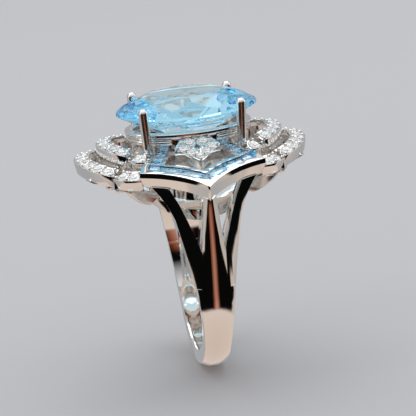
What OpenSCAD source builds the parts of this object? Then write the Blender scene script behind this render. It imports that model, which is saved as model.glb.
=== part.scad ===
// Cocktail ring: large oval centre stone in a four-claw basket, two stepped
// arcs of small round stones at each end, a kite-shaped channel panel on each
// shoulder, an open scroll gallery and a split shank.
// Origin: centre of the finger hole. +X along the finger, +Z up through the head.

/* [Finger and shank] */
// inner radius of the finger hole
finger_r = 8.65; // [7.5:0.05:10.5]
// thickness of the hoop at its ridge
shank_t = 1.7; // [1.2:0.05:2.4]
// width of the hoop at the bottom
shank_w_low = 2.6; // [2:0.1:4]
// width of the hoop where the three branches meet
shank_w_high = 4.9; // [4:0.1:6]
// width of the flat strip along the ridge
ridge_w = 0.9; // [0.5:0.05:1.4]

/* [Centre stone] */
// length of the oval stone along the finger
stone_l = 14.0; // [11:0.1:16]
// width of the oval stone across the finger
stone_w = 10.0; // [8:0.1:12]
// height of the girdle above the centre of a finger hole of radius 8.65
girdle_z = 16.1; // [15.4:0.05:17]
// height of the crown above the girdle
crown_h = 1.65; // [1.3:0.05:2.2]
// depth of the pavilion below the girdle
pavilion_h = 3.9; // [3:0.1:4.2]

/* [Claws and basket] */
// claw diameter
claw_d = 0.95; // [0.7:0.05:1.2]
// height of the seat rail under the girdle
seat_drop = 1.6; // [1.3:0.05:1.9]
// thickness of the basket wall
basket_t = 0.55; // [0.4:0.05:0.8]

/* [Shoulder panels] */
// half width of a panel at its side corners
kite_half_w = 6.15; // [5.4:0.05:6.8]
// distance of a panel's outer point from the middle
kite_tip_y = 11.5; // [10.9:0.05:12.2]
// width of the outer lip
lip_w = 0.55; // [0.35:0.05:0.7]
// width of the channel that holds the blue stones
channel_w = 1.05; // [0.7:0.05:1.25]
// height of the panel's skirt
skirt_h = 1.4; // [1.1:0.05:1.7]

/* [Stone tiers] */
// how far the outer tier reaches from the middle
outer_reach = 11.6; // [11:0.05:12.6]
// how far the inner tier reaches from the middle
inner_reach = 9.3; // [8.9:0.05:9.9]
// width of a tier's strip
strip_w = 1.6; // [1.4:0.05:1.8]
// outward tilt of a tier's strip, degrees
strip_tilt = 25; // [15:1:32]
// diameter of a small round stone
round_d = 1.12; // [0.9:0.05:1.2]

/* [Hidden] */
$fn = 64;

metal = [0.86, 0.86, 0.87];
aqua = [0.25, 0.66, 0.86];
clear = [0.93, 0.95, 0.97];

ridge_r = finger_r + shank_t;

// ---- heights in the head are for this finger hole, and the head rises with a larger one
drawn_r = 8.65;
rise = finger_r - drawn_r;
module head() translate([0, 0, rise]) children();
// a cylinder round the finger, as the head's own heights see it
module hole(r) translate([0, 0, -rise]) barrel(r);

// ---- the dome that the shoulder panels follow: a wide cylinder along X
dome_r = 33;
dome_top = 12.9;
dome_z = dome_top - dome_r;
function dome(y) = dome_z + sqrt(dome_r * dome_r - y * y);

module barrel(r, l = 30) translate([-l / 2, 0, 0]) rotate([0, 90, 0]) cylinder(h = l, r = r, $fn = 96);
module dome_solid(drop) translate([0, 0, dome_z]) barrel(dome_r - drop);

// ---- plan of a shoulder panel, inset by d
kite_rear_y = 2.6;
kite_corner_y = 7.75;
side_n = [5.35, 2.15] / norm([5.35, 2.15]);
side_k = side_n[0] * kite_half_w - side_n[1] * kite_corner_y;
function side_x(y, d) = (side_k - d - side_n[1] * y) / side_n[0];
chord = [kite_half_w, kite_tip_y - kite_corner_y];
chord_l = norm(chord);
sag = 0.6;
bow_r = (chord_l * chord_l / 4 + sag * sag) / (2 * sag);
bow_c = [kite_half_w / 2 + chord[1] / chord_l * (bow_r - sag),
         -(kite_tip_y + kite_corner_y) / 2 - chord[0] / chord_l * (bow_r - sag)];
function bow_y(x, d) = bow_c[1] + sqrt(pow(bow_r + d, 2) - pow(bow_c[0] - x, 2));

module kite2d(d, rear = kite_rear_y) {
  difference() {
    polygon([[side_x(-rear, d), -rear], [side_x(-13, d), -13], [-side_x(-13, d), -13],
      [-side_x(-rear, d), -rear]]);
    for (s = [-1, 1]) translate([s * bow_c[0], bow_c[1]]) circle(r = bow_r + d, $fn = 180);
  }
}
module kite_prism(d, z0 = 8, z1 = 14, rear = kite_rear_y)
  translate([0, 0, z0]) linear_extrude(height = z1 - z0) kite2d(d, rear);

// ---- basket walls: an oval prism
wall_l = stone_l - 2.0;
wall_w = stone_w - 2.0;
module oval(l, w, h) scale([l / w, 1, 1]) cylinder(h = h, r = w / 2, $fn = 96);

// ---- claws stand just outside the girdle, on the finger rail
claw_t = 49;
claw_top = [stone_l / 2 * cos(claw_t) + 0.20, stone_w / 2 * sin(claw_t) + 0.22];
splay = 2.6;
claw_over = 0.75;
claw_under = girdle_z - 8.1;
module claw_post(extra = 0) {
  translate([claw_top[0], claw_top[1], girdle_z])
    rotate([-splay, splay, 0])
      translate([0, 0, -claw_under])
        cylinder(h = claw_under + claw_over, r = claw_d / 2 + extra);
}
module stone_envelope(grow = 0.02) {
  translate([0, 0, girdle_z]) hull() {
    translate([0, 0, crown_h + grow]) ring_slice(stone_l * 0.62, stone_w * 0.6, 0.01);
    translate([0, 0, -0.15]) ring_slice(stone_l + grow, stone_w + grow, 0.3);
    translate([0, 0, -pavilion_h * 0.62]) ring_slice(stone_l * 0.55, stone_w * 0.48, 0.01);
    translate([0, 0, -pavilion_h - grow]) ring_slice(stone_l * 0.2, 0.06, 0.01);
  }
}
module ring_slice(l, w, h) scale([l, w, 1]) cylinder(h = h, d = 1, $fn = 32);

module split_shank() color(metal) {
  difference() {
    union() {
      hoop();
      head() for (s = [0, 1]) mirror([0, s, 0]) shoulder();
    }
    barrel(finger_r);
  }
}
// the flanks fall away from the ridge by this much before the edge is bevelled
flank_drop = 0.55;
module hoop() {
  w = shank_w_high / 2;
  lo = shank_w_low / 2;
  intersection() {
    rotate([0, 90, 0]) rotate_extrude($fn = 128)
      polygon([[finger_r - 0.4, -w], [ridge_r - 1.25, -w], [ridge_r - flank_drop, -w + 0.75],
        [ridge_r, -ridge_w / 2],
               [ridge_r, ridge_w / 2], [ridge_r - flank_drop, w - 0.75], [ridge_r - 1.25, w],
                 [finger_r - 0.4, w]]);
    translate([0, 15, 0]) rotate([90, 0, 0]) linear_extrude(height = 30)
      polygon([[-lo, -ridge_r - 1], [lo, -ridge_r - 1], [lo, -ridge_r * 0.62], [lo + 0.2, -3.1],
               [w - 0.56, 0], [w - 0.5, 0.3], [-w + 0.5, 0.3], [-w + 0.56, 0], [-lo - 0.2, -3.1],
                 [-lo, -ridge_r * 0.62]]);
  }
}
// one shoulder: a wedge with a sharp ridge, cut into three branches
merge_z = 4.0;
module shoulder() {
  top_z = 12.2;
  w = shank_w_high / 2;
  half = [[w - 0.55, -rise], [w, 3.3], [w + 0.4, 5.3], [w + 0.8, 7.2], [w + 1.3, 8.4],
    [w + 1.95, 9.5], [w + 2.6, 10.4], [w + 3.3, 11.2], [w + 3.3, 12.2]];
  difference() {
    intersection() {
      hull() {
        translate([0, 0, -rise]) linear_extrude(height = 0.01)
          polygon([[-ridge_w / 2, -ridge_r], [ridge_w / 2, -ridge_r], [w - 0.75, -ridge_r + flank_drop],
                   [w - 0.5, -ridge_r + 1.1], [w - 0.5, -7], [-w + 0.5, -7], [-w + 0.5, -ridge_r + 1.1],
                   [-w + 0.75, -ridge_r + flank_drop]]);
        translate([0, 0, top_z]) linear_extrude(height = 0.01)
          polygon([[-ridge_w * 0.3, -kite_tip_y + 0.2], [ridge_w * 0.3, -kite_tip_y + 0.2],
            [kite_half_w, -kite_corner_y],
                   [kite_half_w, -6], [-kite_half_w, -6], [-kite_half_w, -kite_corner_y]]);
      }
      // front view: outline of the spreading branches
      rotate([90, 0, 0]) linear_extrude(height = 14)
        polygon(concat(half, [for (i = [len(half) - 1:-1:0]) [-half[i][0], half[i][1]]]));
      // stays under the panel's rim
      kite_prism(0.12, -1 - abs(rise), 12.3, 1);
    }
    // windows between the branches
    for (s = [-1, 1]) scale_x(s) rotate([90, 0, 0]) linear_extrude(height = 14)
      polygon([[1.12, merge_z], [0.95, 6], [0.76, 8], [0.52, 11.2], [4.2, 11.2], [3.6, 10.4],
        [2.75, 8.7], [2.1, 7.0], [1.6, 5.5]]);
    // hollow behind the branches
    rotate([0, 90, 0]) translate([0, 0, -8]) linear_extrude(height = 16)
      polygon([[-5.2, -6.9], [-12.5, -7.15], [-12.5, -2], [-5.2, -2]]);
    translate([-1.3, 0, 0]) rotate([90, 0, 90]) linear_extrude(height = 2.6)
      polygon([[-7.6, merge_z], [-9.3, 12.5], [-6, 12.5], [-6, merge_z]]);
    // room for the panel frame
    difference() {
      translate([-8, -14, 8]) cube([16, 14, 6]);
      dome_solid(skirt_h);
    }
  }
}
module scale_x(s) { if (s < 0) mirror([1, 0, 0]) children(); else children(); }

// ---- ring and arms that lie on the finger
rail_w = 0.9;
rail_t = 0.8;
// the claws stand on the middle of the ring
claw_foot = claw_top - [1, 1] * tan(splay) * (girdle_z - drawn_r - rail_t * 0.1);
rail_r = norm(claw_foot) + rail_w * 0.37;
arm_points = [[2.6, 3], [3.4, 3], [2.95, 7.3], [2.3, 7.3]];
module arm(sx, sy) {
  order = sx * sy > 0 ? [0, 1, 2, 3] : [3, 2, 1, 0];
  polygon([for (i = order) [sx * arm_points[i][0], sy * arm_points[i][1]]]);
}
module finger_rail() color(metal) {
  difference() {
    intersection() {
      difference() { barrel(finger_r + rail_t); barrel(finger_r); }
      translate([0, 0, 1]) linear_extrude(height = 13) difference() {
        union() {
          circle(r = rail_r, $fn = 128);
          for (sx = [-1, 1], sy = [-1, 1]) arm(sx, sy);
        }
        circle(r = rail_r - rail_w, $fn = 128);
      }
    }
    // trimmed where the branches begin
    head() for (s = [0, 1]) mirror([0, s, 0]) shoulder();
  }
}

// ---- open gallery between the finger rail and the outer tier
module rib(a, low, high) {
  rotate([0, 0, a]) translate([0, 0.28, 0]) rotate([90, 0, 0]) linear_extrude(height = 0.56)
    polygon(concat(low, [for (i = [len(high) - 1:-1:0]) high[i]]));
}
inner_rib_low = [[5.3, 8.6], [6.6, 9.25], [8.6, 9.85], [10.6, 10.3], [11.25, 10.7]];
inner_rib_high = [[5.3, 9.8], [6.6, 10.1], [8.6, 10.6], [10.4, 11.1], [11.25, 11.3]];
outer_rib_low = [[5.3, 7.4], [6.4, 7.6], [8.0, 8.35], [9.4, 9.35], [9.95, 9.9]];
outer_rib_high = [[5.3, 8.9], [6.4, 9.1], [8.0, 9.75], [9.2, 10.3], [9.95, 10.6]];
module scroll(a, r, z, tilt, size) {
  rotate([0, 0, a]) translate([r, 0, z]) rotate([0, -tilt, 0]) {
    rotate([0, 0, 60]) rotate_extrude(angle = 270, $fn = 48) translate([size, 0])
      circle(r = 0.26, $fn = 16);
    for (b = [60, 330]) rotate([0, 0, b]) translate([size, 0, 0]) sphere(r = 0.42, $fn = 24);
  }
}
module gallery() {
  difference() {
    union() {
      for (a = [-16, 16]) rib(a, inner_rib_low, inner_rib_high);
      for (a = [-43, 43]) rib(a, outer_rib_low, outer_rib_high);
      scroll(0, 8.55, 10.1, 16, 1.9);
      for (s = [-1, 1]) scroll(s * 29.5, 8.2, 9.55, 20, 1.75);
    }
    hole(finger_r + rail_t);
    for (e = [outer_end, inner_end]) wall_room(e);
    for (s = [0, 1]) mirror([0, s, 0]) { side_room(outer_side); claw_post(0.01); shoulder(); }
  }
}
// room for a tier's wall, so a rib ends flush under it
module wall_room(e) end_frame(e) translate([0, 0, -e[4]]) difference() {
  cylinder(h = 4, r = e[1] + 1.5, $fn = 96);
  translate([0, 0, -1]) cylinder(h = 6, r = e[1] - wall_lean - 0.4, $fn = 96);
}
module side_room(s) side_frame(s) translate([0, 0, -s[6]]) difference() {
  cylinder(h = 4, r = s[2] + 0.5, $fn = 96);
  translate([0, 0, -1]) cylinder(h = 6, r = s[2] - wall_lean - 0.4, $fn = 96);
}
module left_gallery() color(metal) head() mirror([1, 0, 0]) gallery();
module right_gallery() color(metal) head() gallery();

module stone_basket() color(metal) head() {
  top = girdle_z - seat_drop;
  difference() {
    union() {
      translate([0, 0, top - 0.45]) oval(wall_l + 0.6, wall_w + 0.6, 0.45);
      translate([0, 0, top - 2.3]) oval(wall_l, wall_w, 2.3);
      // lower rail, open where the lozenges stand
      difference() {
        translate([0, 0, top - 1.05]) oval(wall_l + 0.5, wall_w + 0.5, 0.35);
        translate([-loz_half - 0.05, -wall_w, top - 2]) cube([2 * loz_half + 0.1, 2 * wall_w, 2]);
      }
    }
    translate([0, 0, top - 3]) oval(wall_l - 2 * basket_t, wall_w - 2 * basket_t, 4);
    stone_envelope();
    for (sx = [0, 1], sy = [0, 1]) mirror([sx, 0, 0]) mirror([0, sy, 0]) claw_post(0.005);
  }
}

module claw() {
  difference() {
    union() {
      claw_post();
      translate([claw_top[0], claw_top[1], girdle_z]) rotate([-splay, splay, 0])
        translate([0, 0, claw_over]) sphere(r = claw_d / 2, $fn = 32);
    }
    stone_envelope(0.03);
    hole(finger_r + rail_t);
  }
}
module front_left_claw() color(metal) head() mirror([1, 0, 0]) mirror([0, 1, 0]) claw();
module front_right_claw() color(metal) head() mirror([0, 1, 0]) claw();
module back_left_claw() color(metal) head() mirror([1, 0, 0]) claw();
module back_right_claw() color(metal) head() claw();

module centre_stone() color(aqua) head() {
  translate([0, 0, girdle_z]) hull() {
    translate([0, 0, crown_h - 0.01]) ring_slice(stone_l * 0.62, stone_w * 0.6, 0.01);
    translate([0, 0, crown_h * 0.55]) ring_slice(stone_l * 0.865, stone_w * 0.85, 0.01);
    translate([0, 0, -0.12]) ring_slice(stone_l, stone_w, 0.24);
    translate([0, 0, -pavilion_h * 0.62]) ring_slice(stone_l * 0.55, stone_w * 0.48, 0.01);
    translate([0, 0, -pavilion_h]) ring_slice(stone_l * 0.2, 0.05, 0.01);
  }
}

// ---- shoulder panel
channel_y = 3.3;
groove = 0.75;
inner_lip = 0.45;
// depth of the pocket inside the channel
pocket = 0.95;
open_in = lip_w + channel_w + inner_lip;
module panel_frame() {
  difference() {
    intersection() {
      kite_prism(0);
      difference() { dome_solid(0); dome_solid(skirt_h); }
    }
    // channel
    difference() {
      intersection() {
        kite_prism(lip_w, 8, 14, 2);
        translate([-8, -13, 8]) cube([16, 13 - channel_y, 6]);
      }
      kite_prism(lip_w + channel_w, 7, 15, 1);
      dome_solid(groove);
    }
    // sunken pocket inside the channel
    difference() {
      kite_prism(open_in, 7, 15, 3.4);
      translate([0, 0, 6]) oval(wall_l + 2, wall_w + 1.9, 10);
      dome_solid(pocket);
    }
    for (p = loz_spots) round_seat(p, loz_round);
    // wraps round the basket
    translate([0, 0, 7]) oval(wall_l + 0.02, wall_w + 0.02, 8);
    for (s = [0, 1]) mirror([s, 0, 0]) mirror([0, 1, 0]) claw_post(0.01);
  }
}
module front_panel_frame() color(metal) head() panel_frame();
module back_panel_frame() color(metal) head() mirror([0, 1, 0]) panel_frame();

// blue stones cut to follow the channel
gap = 0.02;
module channel_fill() {
  difference() {
    intersection() {
      kite_prism(lip_w + gap, 8, 14, channel_y + gap);
      dome_solid(0.12);
    }
    kite_prism(lip_w + channel_w - gap, 7, 15, 1);
    dome_solid(groove - gap);
    translate([0, 0, 7]) oval(wall_l + 0.04 + 2 * gap, wall_w + 0.04 + 2 * gap, 8);
    for (s = [0, 1]) mirror([s, 0, 0]) mirror([0, 1, 0]) claw_post(2 * gap);
  }
}
module cell(points) translate([0, 0, 8]) linear_extrude(height = 6) polygon(points);
// cuts across the side columns: height at x = 2, rising outwards
side_cuts = [-2.9, -4.75, -5.85, -6.95];
cut_rise = 0.3;
function side_cut(i, x, off = 0) = [x, side_cuts[i] + cut_rise * (x - 2) + off];
// cuts across the lower arms, from the inner side to the outer side
arm_cuts = [[[0, -9.2], [1.05, -10.4]], [[1.55, -7.3], [2.7, -9.15]], [[3.7, -6.3], [4.5, -8.25]]];
module channel_stones() {
  for (s = [0, 1]) mirror([s, 0, 0]) {
    for (i = [0:2]) intersection() {
      channel_fill();
      cell([side_cut(i, 2, -gap), side_cut(i + 1, 2, gap), side_cut(i + 1, 7, gap), side_cut(i, 7, -gap)]);
    }
    // corner stone
    intersection() {
      channel_fill();
      cell([side_cut(3, 3.76, -gap), arm_cuts[2][1] + [gap, 0], [6.6, -9.2], side_cut(3, 6.6, -gap)]);
    }
    for (i = [0:1]) intersection() {
      channel_fill();
      cell([arm_cuts[i][0] + [gap, 0], arm_cuts[i][1] + [gap, 0], arm_cuts[i + 1][1] - [gap, 0],
        arm_cuts[i + 1][0] - [gap, 0]]);
    }
  }
  // tip stone
  intersection() {
    channel_fill();
    cell([arm_cuts[0][0], [-arm_cuts[0][1][0] + gap, arm_cuts[0][1][1]], [0, -11.6],
      [arm_cuts[0][1][0] - gap, arm_cuts[0][1][1]]]);
  }
}
module front_channel_stones() color(aqua) head() channel_stones();
module back_channel_stones() color(aqua) head() mirror([0, 1, 0]) channel_stones();

// ---- raised lozenge with small round stones: it stands in the pocket and slopes up to the basket
loz_tip = 7.5;
loz_half = 2.25;
loz_side = 5.4;
loz_low = 12.35;
loz_slope = 25.8;
loz_round = 0.85;
loz_spots = [[0, -6.65], [0.72, -6.05], [-0.72, -6.05], [1.42, -5.42], [-1.42, -5.42],
  [0.68, -4.66], [-0.68, -4.66]];
function loz_z(y) = loz_low + (y + loz_tip) * tan(loz_slope);
module loz2d() polygon([[0, -loz_tip], [loz_half, -loz_side], [1.2, -3.8], [-1.2, -3.8],
  [-loz_half, -loz_side]]);
module lozenge() {
  difference() {
    translate([0, 0, 10]) linear_extrude(height = 5) loz2d();
    translate([0, -loz_tip, loz_low]) rotate([loz_slope, 0, 0]) translate([-5, -5, 0]) cube([10, 15, 8]);
    dome_solid(pocket);
    // small diamond opening
    translate([0, 0, 9]) linear_extrude(height = 6) polygon([[0, -5.9], [0.36, -5.4], [0, -4.9],
      [-0.36, -5.4]]);
    translate([0, 0, 7]) oval(wall_l + 0.02, wall_w + 0.02, 8);
    for (p = loz_spots) round_seat(p, loz_round);
    panel_frame();
  }
}
module on_lozenge(p) translate([p[0], p[1], loz_z(p[1])]) rotate([loz_slope, 0, 0]) children();
module round_seat(p, d) on_lozenge(p) {
  translate([0, 0, -0.30]) cylinder(h = 1, d = d + 0.02, $fn = 24);
  translate([0, 0, -0.8]) cylinder(h = 0.8, d = d * 0.55, $fn = 24);
}
module round_stone(d) {
  rotate_extrude($fn = 24) polygon([[0, -0.42 * d], [d / 2, -0.03], [d / 2, 0.02],
    [d * 0.29, 0.17 * d], [0, 0.17 * d]]);
}
module lozenge_stones() for (p = loz_spots) on_lozenge(p) translate([0, 0, 0.06]) intersection() {
  round_stone(loz_round);
  union() {
    translate([0, 0, -0.29]) cylinder(h = 2, d = loz_round + 1);
    cylinder(h = 1.2, d = loz_round * 0.5, center = true);
  }
}
module front_lozenge() color(metal) head() lozenge();
module back_lozenge() color(metal) head() mirror([0, 1, 0]) lozenge();
module front_lozenge_stones() color(clear) head() lozenge_stones();
module back_lozenge_stones() color(clear) head() mirror([0, 1, 0]) lozenge_stones();

// ---- stepped tiers: an end scallop and two short side scallops each
dr = strip_w * cos(strip_tilt);
dz = strip_w * sin(strip_tilt);
end_rise = 12;
wall_lean = 0.4;
// [centre x, outer radius, half span, edge height, wall height]
outer_end = [outer_reach - 6.4, 6.4, 59, 11.85, 0.95];
inner_end = [inner_reach - 4.7, 4.7, 62, 13.2, 2.3];
// [centre x, centre y, outer radius, from angle, to angle, edge height, wall height]
outer_side = [5.96, 4.70, 2.6, 17, 92, 11.0, 0.95];
inner_side = [4.88, 3.70, 1.95, 10, 92, 12.3, 1.5];

module strip(r, h) {
  polygon([[r, 0.14], [r - wall_lean * 0.12, -0.12], [r - wall_lean, -h],
    [r - wall_lean - 0.38, -h], [r - 0.38, -0.30], [r - dr, dz - 0.55], [r - dr, dz + 0.02],
    [r - dr + 0.16, (dr - 0.16) / dr * dz - 0.004], [r - 0.2, 0.2 / dr * dz - 0.004], [r - 0.2, 0.16]]);
}
module arc(r, h, a0, a1) rotate([0, 0, a0]) rotate_extrude(angle = a1 - a0, $fn = 96) strip(r, h);
module end_frame(e) translate([e[0], 0, e[3]]) translate([e[1], 0, 0]) rotate([0, -end_rise, 0])
  translate([-e[1], 0, 0]) children();
module side_frame(s) translate([s[0], s[1], s[5]]) children();

// as many round stones as the strip has room for between two angles
function stones_on(r, a0, a1) = floor((r - dr / 2) * (a1 - a0) * PI / 180 / (round_d + 0.02));
// places of the round stones on a strip, n of them between two angles
module along(r, a0, a1, n) for (i = [0:n - 1]) rotate([0, 0, a0 + (a1 - a0) * (i + 0.5) / n])
  translate([r - dr / 2, 0, dz / 2]) rotate([0, strip_tilt, 0]) children();
module seats(r, a0, a1, n) along(r, a0, a1, n) {
  translate([0, 0, -0.34]) cylinder(h = 1, d = round_d + 0.02, $fn = 24);
  translate([0, 0, -2]) cylinder(h = 2, d = round_d * 0.5, $fn = 24);
}
module gem() translate([0, 0, 0.05]) intersection() {
  round_stone(round_d);
  union() {
    translate([0, 0, -0.33]) cylinder(h = 2, d = round_d + 1);
    cylinder(h = 1.4, d = round_d * 0.45, center = true);
  }
}
module grain() {
  cylinder(h = 0.14, r = 0.13, $fn = 16);
  translate([0, 0, 0.13]) sphere(r = 0.13, $fn = 16);
}
module grains(r, a0, a1, n) for (i = [1:n - 1]) rotate([0, 0, a0 + (a1 - a0) * i / n])
  for (q = [-0.46, 0.42]) translate([r - dr / 2, 0, dz / 2]) rotate([0, strip_tilt, 0])
    translate([q, 0, 0]) grain();

module keep_outside() difference() {
  children();
  for (s = [0, 1]) mirror([0, s, 0]) kite_prism(-0.01, 6, 16, 1);
  for (s = [0, 1]) mirror([0, s, 0]) claw_post(0.02);
}
// a short post in the notch joins the end scallop to a side scallop
module cusp(e, s) {
  x = e[0] + (e[1] - 0.65) * cos(e[2] + 1);
  y = (e[1] - 0.65) * sin(e[2] + 1);
  translate([x, y, s[5] - s[6]]) cylinder(h = s[6] + 0.35, r = 0.6);
}
module tier(e, s) {
  n_end = stones_on(e[1], -e[2] + 3, e[2] - 3);
  n_side = stones_on(s[2], s[3] + 2, s[4] - 2);
  keep_outside() difference() {
    union() {
      end_frame(e) arc(e[1], e[4], -e[2], e[2]);
      for (m = [0, 1]) mirror([0, m, 0]) { side_frame(s) arc(s[2], s[6], s[3], s[4]); cusp(e, s); }
    }
    end_frame(e) seats(e[1], -e[2] + 3, e[2] - 3, n_end);
    for (m = [0, 1]) mirror([0, m, 0]) side_frame(s) seats(s[2], s[3] + 2, s[4] - 2, n_side);
  }
}
module tier_stones(e, s) {
  n_end = stones_on(e[1], -e[2] + 3, e[2] - 3);
  n_side = stones_on(s[2], s[3] + 2, s[4] - 2);
  end_frame(e) along(e[1], -e[2] + 3, e[2] - 3, n_end) gem();
  for (m = [0, 1]) mirror([0, m, 0]) side_frame(s) along(s[2], s[3] + 2, s[4] - 2, n_side) gem();
}
module tier_grains(e) {
  n_end = stones_on(e[1], -e[2] + 3, e[2] - 3);
  end_frame(e) grains(e[1], -e[2] + 3, e[2] - 3, n_end);
}
module right_outer_tier() color(metal) head() tier(outer_end, outer_side);
module left_outer_tier() color(metal) head() mirror([1, 0, 0]) tier(outer_end, outer_side);
module right_inner_tier() color(metal) head() tier(inner_end, inner_side);
module left_inner_tier() color(metal) head() mirror([1, 0, 0]) tier(inner_end, inner_side);
module right_outer_tier_stones() color(clear) head() tier_stones(outer_end, outer_side);
module left_outer_tier_stones() color(clear) head() mirror([1, 0, 0]) tier_stones(outer_end, outer_side);
module right_inner_tier_stones() color(clear) head() tier_stones(inner_end, inner_side);
module left_inner_tier_stones() color(clear) head() mirror([1, 0, 0]) tier_stones(inner_end, inner_side);
module right_outer_tier_grains() color(metal) head() tier_grains(outer_end);
module left_outer_tier_grains() color(metal) head() mirror([1, 0, 0]) tier_grains(outer_end);
module right_inner_tier_grains() color(metal) head() tier_grains(inner_end);
module left_inner_tier_grains() color(metal) head() mirror([1, 0, 0]) tier_grains(inner_end);

split_shank();
finger_rail();
left_gallery();
right_gallery();
stone_basket();
front_left_claw();
front_right_claw();
back_left_claw();
back_right_claw();
centre_stone();
front_panel_frame();
back_panel_frame();
front_channel_stones();
back_channel_stones();
front_lozenge();
back_lozenge();
front_lozenge_stones();
back_lozenge_stones();
left_inner_tier();
right_inner_tier();
left_outer_tier();
right_outer_tier();
left_inner_tier_stones();
right_inner_tier_stones();
left_outer_tier_stones();
right_outer_tier_stones();
left_inner_tier_grains();
right_inner_tier_grains();
left_outer_tier_grains();
right_outer_tier_grains();
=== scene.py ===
"""Cocktail ring: large oval blue stone, stepped stone tiers, kite-shaped shoulder panels, split shank."""

import math

import bmesh
import bpy
from mathutils import Matrix, Vector


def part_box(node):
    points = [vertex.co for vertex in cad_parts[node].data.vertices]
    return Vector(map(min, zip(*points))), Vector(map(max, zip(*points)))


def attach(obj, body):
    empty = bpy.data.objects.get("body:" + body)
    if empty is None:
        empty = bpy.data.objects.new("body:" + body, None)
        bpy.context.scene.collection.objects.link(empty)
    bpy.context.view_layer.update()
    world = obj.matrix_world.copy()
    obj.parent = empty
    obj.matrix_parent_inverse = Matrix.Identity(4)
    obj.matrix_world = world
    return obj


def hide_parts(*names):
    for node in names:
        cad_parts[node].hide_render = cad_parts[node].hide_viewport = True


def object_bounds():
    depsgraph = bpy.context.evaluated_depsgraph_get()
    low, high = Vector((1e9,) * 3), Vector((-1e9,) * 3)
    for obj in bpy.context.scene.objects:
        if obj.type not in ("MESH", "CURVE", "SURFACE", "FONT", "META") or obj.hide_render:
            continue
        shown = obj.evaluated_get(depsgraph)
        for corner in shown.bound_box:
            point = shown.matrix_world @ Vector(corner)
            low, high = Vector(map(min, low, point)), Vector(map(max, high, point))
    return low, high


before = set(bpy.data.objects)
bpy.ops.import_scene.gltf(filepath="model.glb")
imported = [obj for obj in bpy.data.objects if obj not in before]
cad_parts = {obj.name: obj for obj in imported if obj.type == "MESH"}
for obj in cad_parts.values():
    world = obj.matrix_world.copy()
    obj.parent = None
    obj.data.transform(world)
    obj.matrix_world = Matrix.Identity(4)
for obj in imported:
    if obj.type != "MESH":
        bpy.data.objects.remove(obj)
cad_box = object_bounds()

MM = 0.001


# ---------------------------------------------------------------- small helpers

def linear(hex_colour):
    """An sRGB hex colour as linear red, green, blue and full alpha."""
    parts = [int(hex_colour[i:i + 2], 16) / 255 for i in (1, 3, 5)]
    return [c / 12.92 if c <= 0.04045 else ((c + 0.055) / 1.055) ** 2.4 for c in parts] + [1.0]


def select_only(*pieces):
    if bpy.context.object and bpy.context.object.mode != "OBJECT":
        bpy.ops.object.mode_set(mode="OBJECT")
    bpy.ops.object.select_all(action="DESELECT")
    for piece in pieces:
        piece.select_set(True)
    bpy.context.view_layer.objects.active = pieces[0]


def edit(piece, kind="FACE"):
    """Opens a piece for editing with nothing selected."""
    select_only(piece)
    bpy.ops.object.mode_set(mode="EDIT")
    bpy.ops.mesh.select_mode(type=kind)
    bpy.ops.mesh.select_all(action="DESELECT")


def done():
    bpy.ops.object.mode_set(mode="OBJECT")


def pick(test, kind="faces"):
    """Selects the faces, edges or verts of the open piece for which test(element) holds."""
    mesh = bmesh.from_edit_mesh(bpy.context.object.data)
    found = 0
    for element in getattr(mesh, kind):
        chosen = bool(test(element))
        element.select_set(chosen)
        found += chosen
    mesh.select_flush_mode()
    bmesh.update_edit_mesh(bpy.context.object.data)
    return found


def fresh(name):
    """Takes the object that an add operator has just made, and names it."""
    piece = bpy.context.object
    piece.name = name
    piece.data.name = name
    return piece


def finish_with(piece, kind, **settings):
    """Adds one modifier with its settings and applies it."""
    select_only(piece)
    modifier = piece.modifiers.new(kind.title(), kind)
    for key, value in settings.items():
        setattr(modifier, key, value)
    bpy.ops.object.modifier_apply(modifier=modifier.name)
    return piece


def smooth(piece, angle=30):
    select_only(piece)
    bpy.ops.object.shade_smooth_by_angle(angle=math.radians(angle))
    return piece


def copied(piece, name, place=Matrix.Identity(4)):
    """A copy with its own mesh, moved or mirrored by a matrix."""
    twin = piece.copy()
    twin.data = piece.data.copy()
    bpy.context.scene.collection.objects.link(twin)
    twin.name = name
    twin.data.name = name
    twin.data.transform(place)
    if place.determinant() < 0:
        edit(twin)
        bpy.ops.mesh.select_all(action="SELECT")
        bpy.ops.mesh.flip_normals()
        done()
    return twin


def joined(pieces, name):
    select_only(*pieces)
    bpy.ops.object.join()
    return fresh(name)


def fitted(piece, material, slot, *nodes):
    """Gives a finished piece its material, hangs it under the root, and hides the CAD nodes it stands for.
    """
    piece.data.materials.clear()
    piece.data.materials.append(material)
    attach(piece, "root")
    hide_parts(*nodes)
    return piece


# ---------------------------------------------------------------- materials

def add(tree, kind, links=None, **settings):
    """Adds one node. Settings name its properties or inputs, links join its inputs to other sockets."""
    node = tree.nodes.new(kind)
    for key, value in settings.items():
        if hasattr(node, key):
            setattr(node, key, value)
        else:
            node.inputs[key.replace("_", " ")].default_value = value
    for key, socket in (links or {}).items():
        tree.links.new(socket, node.inputs[key])
    return node


def ramp(tree, value, stops):
    """A colour that follows a value, from a list of value and hex colour."""
    low = stops[0][0]
    span = stops[-1][0] - low
    scaled = add(tree, "ShaderNodeMapRange", {"Value": value})
    scaled.inputs["From Min"].default_value = low
    scaled.inputs["From Max"].default_value = low + span
    blend = add(tree, "ShaderNodeValToRGB", {"Fac": scaled.outputs["Result"]})
    points = blend.color_ramp.elements
    while len(points) < len(stops):
        points.new(0.5)
    for point, (at, colour) in zip(points, stops):
        point.position = (at - low) / span
        point.color = linear(colour)
    return blend.outputs["Color"]


def blend(tree, way, first, second):
    mix = add(tree, "ShaderNodeMix", {6: first, 7: second}, data_type="RGBA", blend_type=way)
    mix.inputs[0].default_value = 1.0
    return mix.outputs[2]


def blank(name):
    material = bpy.data.materials.new(name)
    material.use_nodes = True
    tree = material.node_tree
    tree.nodes.clear()
    return material, tree


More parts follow.
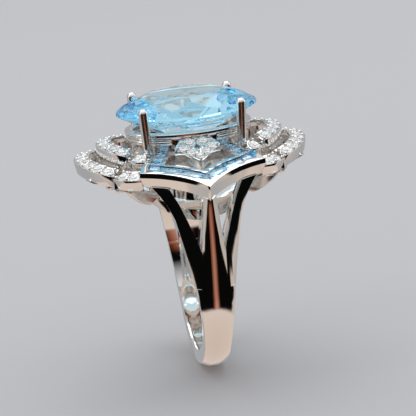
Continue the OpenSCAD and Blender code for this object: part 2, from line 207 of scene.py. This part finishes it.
def rhodium(name, roughness, wear):
    """Rhodium-plated silver, buffed bright: nearly colourless mirror with faint buffing lines."""
    material, tree = blank(name)
    place = add(tree, "ShaderNodeTexCoord")
    # buffing leaves lines about a tenth of a millimetre apart, drawn a little coarser than real
    lines = add(tree, "ShaderNodeTexNoise", {"Vector": place.outputs["Object"]}, Scale=2600.0, Detail=3.0)
    swell = add(tree, "ShaderNodeTexNoise", {"Vector": place.outputs["Object"]}, Scale=420.0, Detail=1.0)
    dulling = add(tree, "ShaderNodeMapRange", {"Value": lines.outputs["Fac"]})
    dulling.inputs["To Min"].default_value = roughness
    dulling.inputs["To Max"].default_value = roughness + wear
    bump = add(tree, "ShaderNodeBump", {"Height": swell.outputs["Fac"]}, Strength=0.06, Distance=0.0001)
    shader = add(tree, "ShaderNodeBsdfPrincipled",
                 {"Roughness": dulling.outputs["Result"], "Normal": bump.outputs["Normal"]})
    shader.inputs["Base Color"].default_value = linear("#EFEEEC")
    shader.inputs["Metallic"].default_value = 1.0
    add(tree, "ShaderNodeOutputMaterial", {"Surface": shader.outputs["BSDF"]})
    return material


def cut_stone(name, colour, ior, depth_colour=None, density=0.0):
    """A cut and polished transparent stone, with its body colour growing with depth."""
    material, tree = blank(name)
    shader = add(tree, "ShaderNodeBsdfPrincipled")
    shader.inputs["Base Color"].default_value = linear(colour)
    shader.inputs["Transmission Weight"].default_value = 1.0
    shader.inputs["Roughness"].default_value = 0.0
    shader.inputs["IOR"].default_value = ior
    output = add(tree, "ShaderNodeOutputMaterial", {"Surface": shader.outputs["BSDF"]})
    if depth_colour:
        body = add(tree, "ShaderNodeVolumeAbsorption")
        body.inputs["Color"].default_value = linear(depth_colour)
        body.inputs["Density"].default_value = density
        tree.links.new(body.outputs["Volume"], output.inputs["Volume"])
    return material


# buffed on a wheel after plating: a clean mirror with faint soft lines
bright_metal = rhodium("polished_rhodium", 0.045, 0.05)
# the same plating where the wheel can't reach, and on worn claws: white and satin
cast_metal = rhodium("rhodium_over_castwork", 0.16, 0.14)
# pale in its middle, and deeper blue at its ends, where light crosses it many times
blue_topaz = cut_stone("swiss_blue_topaz", "#FFFFFF", 1.62, "#55DFFA", 85.0)
# the channel stones are thin, so their colour is drawn denser than the big stone's
channel_blue = cut_stone("blue_topaz_baguette", "#FFFFFF", 1.62, "#45D0F4", 400.0)
# colourless with a high index, so the small stones flash white
white_zircon = cut_stone("colourless_zirconia", "#FFFFFF", 2.15)


# ---------------------------------------------------------------- cut stones

def facet(point, slope):
    """Saws off everything outside a plane through a point, and closes the cut."""
    bpy.ops.mesh.select_all(action="SELECT")
    bpy.ops.mesh.bisect(plane_co=point, plane_no=slope, use_fill=True, clear_outer=True)


def brilliant(name, sides, table, crown, girdle, pavilion, fine=True):
    """A round brilliant of radius 1, girdle at z = 0: cut from a drum, one facet at a time."""
    bpy.ops.mesh.primitive_cylinder_add(vertices=sides * 8 if fine else sides * 2, radius=1.0, depth=1.0)
    stone = fresh(name)
    edit(stone)
    bpy.ops.mesh.select_all(action="SELECT")
    bpy.ops.transform.resize(value=(1, 1, 2 * max(crown, pavilion) + 0.2))
    facet((0, 0, crown), (0, 0, 1))
    half = girdle / 2
    rise = (crown - half) / (1 - table)
    fall = (pavilion - half)
    step = 2 * math.pi / sides
    for k in range(sides):
        for turn, steep, reach in cuts_of_crown(fine):
            angle = (k + turn) * step
            x = math.cos(angle)
            y = math.sin(angle)
            facet((x * reach, y * reach, half), (x * rise * steep, y * rise * steep, 1))
        for turn, steep, reach in cuts_of_pavilion(fine):
            angle = (k + turn) * step
            x = math.cos(angle)
            y = math.sin(angle)
            facet((x * reach, y * reach, -half), (x * fall * steep, y * fall * steep, -1))
    done()
    return stone


def cuts_of_crown(fine):
    """Each facet of one eighth of the crown: its turn, how steep it is, and where it meets the girdle."""
    if not fine:
        return [(0.0, 1.0, 1.0)]
    return [(0.0, 1.0, 1.0), (0.25, 1.3, 1.0), (-0.25, 1.3, 1.0), (0.5, 0.66, 1.10)]


def cuts_of_pavilion(fine):
    if not fine:
        return [(0.5, 1.0, 1.0)]
    return [(0.0, 1.0, 1.0), (0.25, 1.22, 1.0), (-0.25, 1.22, 1.0), (0.5, 0.93, 0.99)]


# how far the centre stone's table stands above its girdle
CROWN_HEIGHT = 1.65 * MM


def centre_stone():
    """The big oval: a brilliant stretched to the oval of its CAD solid."""
    low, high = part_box("centre_stone")
    middle = [(low[i] + high[i]) / 2 for i in range(3)]
    length = high[0] - low[0]
    width = high[1] - low[1]
    girdle_z = high[2] - CROWN_HEIGHT
    crown = high[2] - girdle_z
    pavilion = girdle_z - low[2]
    unit = width / 2
    stone = brilliant("oval_centre_stone", 8, 0.62, crown / unit, 0.035, pavilion / unit)
    stone.data.transform(Matrix.Diagonal((length / 2, width / 2, unit, 1)))
    stone.data.transform(Matrix.Translation((middle[0], middle[1], girdle_z)))
    return fitted(stone, blue_topaz, "swiss_blue_stone", "centre_stone")


# ---------------------------------------------------------------- metalwork

# the shoulder panels follow a wide cylinder along the finger
DOME_R = 33.0 * MM
DOME_Z = (12.9 - 33.0) * MM


def welded(node, name):
    """A copy of a CAD solid with its triangles joined up into whole faces."""
    piece = copied(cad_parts[node], name)
    edit(piece, "VERT")
    bpy.ops.mesh.select_all(action="SELECT")
    bpy.ops.mesh.customdata_custom_splitnormals_clear()
    bpy.ops.mesh.remove_doubles(threshold=0.002 * MM)
    bpy.ops.mesh.dissolve_limited(angle_limit=math.radians(0.6))
    done()
    return piece


def softened(node, name, radius, material, slot="rhodium_white_metal", angle=28, steps=2, clamp=True):
    """The CAD solid, welded, with every sharp edge rounded as buffing rounds it."""
    piece = welded(node, name)
    if node.endswith("panel_frame"):
        lean_in_skirt(piece)
    finish_with(piece, "BEVEL", width=radius, segments=steps, limit_method="ANGLE",
                angle_limit=math.radians(angle), use_clamp_overlap=clamp)
    smooth(piece, 40)
    if node.endswith(("rail", "tier", "panel_frame")):
        # broad faces stay true right up to their rounded edges
        finish_with(piece, "WEIGHTED_NORMAL", keep_sharp=True)
    return fitted(piece, material, slot, node)


def dome(y):
    """How high the panels' top lies at a distance along the finger."""
    return DOME_Z + math.sqrt(DOME_R ** 2 - y ** 2)


def lean_in_skirt(piece):
    """Draws the foot of a panel's outer wall inwards below its lip, as cast walls are drafted."""
    front = -1 if piece.name.startswith("front") else 1
    fall = (dome(PANEL_CORNER) - dome(PANEL_TIP)) / (PANEL_TIP - PANEL_CORNER)
    edit(piece, "FACE")
    pick(lambda face: abs(face.normal.z) < 0.4 and beyond_edge(face.calc_center_median(), 1.5 * MM))
    under_lip = (0, front * PANEL_TIP, dome(PANEL_TIP) - LIP_WALL)
    bpy.ops.mesh.bisect(plane_co=under_lip, plane_no=(0, front * fall, 1))
    bpy.ops.mesh.mark_sharp()
    bpy.ops.mesh.select_all(action="DESELECT")
    bpy.ops.mesh.select_mode(type="VERT")
    pick(lambda vert: vert.co.z < dome(vert.co.y) - 1.2 * MM and beyond_edge(vert.co, 1.5 * MM), "verts")
    bpy.ops.transform.resize(value=(0.94, 0.95, 1), center_override=(0, front * 5 * MM, 0))
    done()


def beyond_edge(point, margin):
    """Whether a point is on the outside wall of a panel, or within a margin of it."""
    x = abs(point.x)
    y = abs(point.y)
    return 0.53 * x + 0.85 * y > 9.775 * MM - margin or 0.928 * x - 0.373 * y > 3.5 * MM - margin


# height of the upright band under a panel's lip
LIP_WALL = 0.34 * MM
# how far from the ring's middle a panel's tip and its two corners lie, along the finger
PANEL_TIP = 11.5 * MM
PANEL_CORNER = 5.4 * MM

centre_stone()
softened("split_shank", "split_shank_buffed", 0.16 * MM, bright_metal)
softened("stone_basket", "stone_basket_buffed", 0.14 * MM, bright_metal, steps=3, clamp=False)
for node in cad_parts:
    if node.endswith(("rail", "lozenge", "tier")):
        softened(node, node + "_buffed", 0.06 * MM, bright_metal)
    if node.endswith("claw"):
        softened(node, node + "_buffed", 0.06 * MM, cast_metal)
    if node.endswith("frame"):
        panel = softened(node, node + "_buffed", 0.10 * MM, bright_metal)
        panel.data.materials.append(cast_metal)
        for face in panel.data.polygons:
            at = face.center
            if at.z < dome(at.y) - 0.12 * MM and not beyond_edge(at, 2.15 * MM):
                face.material_index = 1
    if node.endswith("gallery"):
        softened(node, node + "_cast", 0.06 * MM, cast_metal)


# ---------------------------------------------------------------- small stones and grains

def place_matrix(point, tilt_axis, tilt):
    return Matrix.Translation(point) @ Matrix.Rotation(tilt, 4, tilt_axis)


END_RISE = math.radians(12)
STRIP_TILT = math.radians(25)
STRIP_W = 1.6 * MM
STRIP_RUN = STRIP_W * math.cos(STRIP_TILT)
STRIP_RISE = STRIP_W * math.sin(STRIP_TILT)


def end_frame(reach, radius, height):
    """Where an end scallop's centre lies: turned up a little towards the ring's end."""
    to_edge = Matrix.Translation((radius, 0, 0))
    back = Matrix.Translation((-radius, 0, 0))
    return (Matrix.Translation((reach - radius, 0, height)) @ to_edge
            @ Matrix.Rotation(-END_RISE, 4, "Y") @ back)


def on_strip(home, radius, angle, across=0.0, up=0.0):
    return (home @ Matrix.Rotation(math.radians(angle), 4, "Z")
            @ Matrix.Translation((radius - STRIP_RUN / 2, 0, STRIP_RISE / 2))
            @ Matrix.Rotation(STRIP_TILT, 4, "Y") @ Matrix.Translation((across, 0, up)))


def strips():
    """The scallops on the +X, +Y side: home, radius, first and last angle, stones, and the tier's name."""
    outer = end_frame(11.6 * MM, 6.4 * MM, 11.85 * MM)
    inner = end_frame(9.3 * MM, 4.7 * MM, 13.2 * MM)
    outer_side = Matrix.Translation((5.96 * MM, 4.70 * MM, 11.0 * MM))
    inner_side = Matrix.Translation((4.88 * MM, 3.70 * MM, 12.3 * MM))
    return {
        "outer_tier": [(outer, 6.4 * MM, -56, 56, 9, False), (outer_side, 2.6 * MM, 19, 90, 2, True)],
        "inner_tier": [(inner, 4.7 * MM, -59, 59, 7, False), (inner_side, 1.95 * MM, 12, 90, 1, True)],
    }


def melee(name, diameter):
    stone = brilliant(name, 8, 0.56, 0.34, 0.05, 0.84, fine=False)
    stone.data.transform(Matrix.Diagonal((diameter / 2, diameter / 2, diameter / 2, 1)))
    return stone


def grain(name, radius):
    bpy.ops.mesh.primitive_uv_sphere_add(segments=12, ring_count=8, radius=radius)
    bead = fresh(name)
    edit(bead)
    facet((0, 0, -radius * 0.55), (0, 0, -1))
    done()
    select_only(bead)
    bpy.ops.object.shade_smooth()
    return bead


small_stone = melee("small_stone", 1.12 * MM)
bead = grain("bead", 0.19 * MM)
MIRROR_Y = Matrix.Diagonal((1, -1, 1, 1))
MIRROR_X = Matrix.Diagonal((-1, 1, 1, 1))

for tier, scallops in strips().items():
    for side, flip in (("right", Matrix.Identity(4)), ("left", MIRROR_X)):
        stones = []
        beads = []
        for home, radius, first, last, count, twice in scallops:
            for turn in ([Matrix.Identity(4), MIRROR_Y] if twice else [Matrix.Identity(4)]):
                for i in range(count):
                    angle = first + (last - first) * (i + 0.5) / count
                    at = flip @ turn @ on_strip(home, radius, angle, 0, 0.05 * MM)
                    stones.append(copied(small_stone, "stone", at))
                for i in range(0, count + 1):
                    angle = first + (last - first) * i / count
                    for across in (-0.50 * MM, 0.46 * MM):
                        at = flip @ turn @ on_strip(home, radius, angle, across, 0.12 * MM)
                        beads.append(copied(bead, "bead", at))
        group = f"{side}_{tier}"
        fitted(joined(stones, group + "_brilliants"), white_zircon, "clear_round_stone", group + "_stones")
        fitted(joined(beads, group + "_beads"), bright_metal, "rhodium_white_metal", group + "_grains")

LOZENGE_SLOPE = math.radians(25.8)
LOZENGE_LOW = 12.35 * MM
LOZENGE_TIP = 7.5 * MM
SPOTS = [(0, -6.65), (0.72, -6.05), (-0.72, -6.05), (1.42, -5.42), (-1.42, -5.42),
         (0.68, -4.66), (-0.68, -4.66)]
BEAD_SPOTS = [(0, -7.16), (0.42, -6.50), (-0.42, -6.50), (0.86, -6.72), (-0.86, -6.72),
              (1.13, -5.86), (-1.13, -5.86),
              (0.62, -5.44), (-0.62, -5.44), (1.62, -6.03), (-1.62, -6.03), (1.95, -5.45), (-1.95, -5.45),
              (1.12, -4.92), (-1.12, -4.92), (0.0, -4.55), (0.0, -6.10), (1.55, -4.85), (-1.55, -4.85)]


def on_lozenge(x, y, up):
    height = LOZENGE_LOW + (y * MM + LOZENGE_TIP) * math.tan(LOZENGE_SLOPE)
    return place_matrix((x * MM, y * MM, height), "X", LOZENGE_SLOPE) @ Matrix.Translation((0, 0, up))


for side, flip in (("front", Matrix.Identity(4)), ("back", MIRROR_Y)):
    stones = []
    for x, y in SPOTS:
        at = flip @ on_lozenge(x, y, 0.06 * MM)
        stones.append(copied(small_stone, "stone", at @ Matrix.Scale(0.76, 4)))
    beads = []
    for x, y in BEAD_SPOTS:
        at = flip @ on_lozenge(x, y, 0.09 * MM)
        beads.append(copied(bead, "bead", at @ Matrix.Scale(0.8, 4)))
    group = side + "_lozenge"
    fitted(joined(stones, group + "_brilliants"), white_zircon, "clear_round_stone", group + "_stones")
    fitted(joined(beads, group + "_beads"), bright_metal, "rhodium_white_metal", group)
    softened(side + "_channel_stones", side + "_channel_baguettes", 0.12 * MM, channel_blue,
             "blue_channel_stone", 40, 1)

bpy.data.objects.remove(small_stone)
bpy.data.objects.remove(bead)


# ---------------------------------------------------------------- studio

def studio_floor():
    """A sheet of pale card under the ring."""
    bpy.ops.mesh.primitive_plane_add(size=1.6, location=(0, 0, cad_box[0][2]))
    card = fresh("studio_floor")
    material, tree = blank("pale_card")
    shader = add(tree, "ShaderNodeBsdfPrincipled", Roughness=0.9)
    shader.inputs["Base Color"].default_value = linear("#C1C2C5")
    add(tree, "ShaderNodeOutputMaterial", {"Surface": shader.outputs["BSDF"]})
    card.data.materials.append(material)
    card.visible_glossy = False


def lamp(name, place, aim, width, height, power, colour="#FFFFFF"):
    """A soft rectangular lamp that points at a spot."""
    data = bpy.data.lights.new(name, "AREA")
    data.shape = "RECTANGLE"
    data.size = width
    data.size_y = height
    data.energy = power
    data.color = linear(colour)[:3]
    light = bpy.data.objects.new(name, data)
    light.location = place
    light.rotation_euler = (Vector(aim) - Vector(place)).to_track_quat("-Z", "Y").to_euler()
    bpy.context.scene.collection.objects.link(light)
    return light


def camera():
    """A long lens, a little left of the ring's middle and a little above it, held slightly askew."""
    turn = math.radians(8.0)
    rise = math.radians(15.5)
    roll = math.radians(5.1)
    back = Vector((-math.sin(turn) * math.cos(rise), -math.cos(turn) * math.cos(rise), math.sin(rise)))
    level = Vector((math.cos(turn), -math.sin(turn), 0))
    upright = back.cross(level)
    right = level * math.cos(roll) - upright * math.sin(roll)
    up = level * math.sin(roll) + upright * math.cos(roll)
    data = bpy.data.cameras.new("camera")
    data.sensor_width = 36
    data.lens = 208.2
    data.clip_start = 0.01
    data.shift_x = 0.031
    data.shift_y = -0.002
    eye = bpy.data.objects.new("camera", data)
    place = Vector((0, 0, 5.8 * MM)) + back * 240 * MM
    eye.matrix_world = Matrix([[right[i], up[i], back[i], place[i]] for i in range(3)] + [[0, 0, 0, 1]])
    bpy.context.scene.collection.objects.link(eye)
    bpy.context.scene.camera = eye


def room():
    """What the polish mirrors: dark in front with a narrow warm gleam, pale cloth below, grey behind."""
    world = bpy.data.worlds.new("photo_room")
    world.use_nodes = True
    tree = world.node_tree
    tree.nodes.clear()
    way = add(tree, "ShaderNodeTexCoord")
    split = add(tree, "ShaderNodeSeparateXYZ", {"Vector": way.outputs["Generated"]})
    height = ramp(tree, split.outputs["Z"], [(-1.0, "#E2CDBF"), (-0.63, "#EAD8CC"), (-0.58, "#0A0908"),
                                             (0.12, "#0A0A0A"), (0.30, "#97989B"), (0.7, "#F4F4F6"),
                                             (1.0, "#FFFFFF")])
    around = ramp(tree, split.outputs["Y"], [(-0.27, "#000000"), (-0.20, "#D9C8BC"), (0.0, "#C6BFBA"),
                                             (0.5, "#B2B3B6")])
    aside = add(tree, "ShaderNodeMath", {0: split.outputs["X"]}, operation="ABSOLUTE")
    gleam = ramp(tree, aside.outputs["Value"], [(0.05, "#CC9482"), (0.20, "#8A5038"), (0.28, "#000000")])
    low_front = ramp(tree, split.outputs["Z"], [(-0.60, "#FFFFFF"), (-0.2, "#C4AC94"), (-0.05, "#000000")])
    lit = blend(tree, "LIGHTEN", height, around)
    lit = blend(tree, "LIGHTEN", lit, blend(tree, "MULTIPLY", gleam, low_front))
    # the cut stones gather light from a pale tent instead
    tent = ramp(tree, split.outputs["Z"], [(-1.0, "#DDE6EA"), (0.0, "#EEF3F6"), (0.5, "#FFFFFF")])
    ray = add(tree, "ShaderNodeLightPath")
    seen = add(tree, "ShaderNodeMix", {0: ray.outputs["Transmission Depth"], 6: lit, 7: tent},
               data_type="RGBA")
    glow = add(tree, "ShaderNodeBackground", {"Color": seen.outputs[2]}, Strength=0.9)
    add(tree, "ShaderNodeOutputWorld", {"Surface": glow.outputs["Background"]})
    bpy.context.scene.world = world
    bpy.context.scene.view_settings.view_transform = "Standard"


def light_through_stones():
    """Light turns many times inside a cut stone before it comes out again."""
    paths = bpy.context.scene.cycles
    paths.max_bounces = 28
    paths.glossy_bounces = 20
    paths.transmission_bounces = 28


studio_floor()
lamp("overhead_softbox", (0.0, 0.16, 0.38), (0, 0, 0.01), 0.45, 0.35, 0.55)
lamp("left_softbox", (-0.36, -0.06, 0.16), (0, 0, 0.01), 0.14, 0.30, 0.14)
lamp("right_softbox", (0.36, 0.05, 0.16), (0, 0, 0.01), 0.14, 0.30, 0.14)
room()
light_through_stones()
camera()
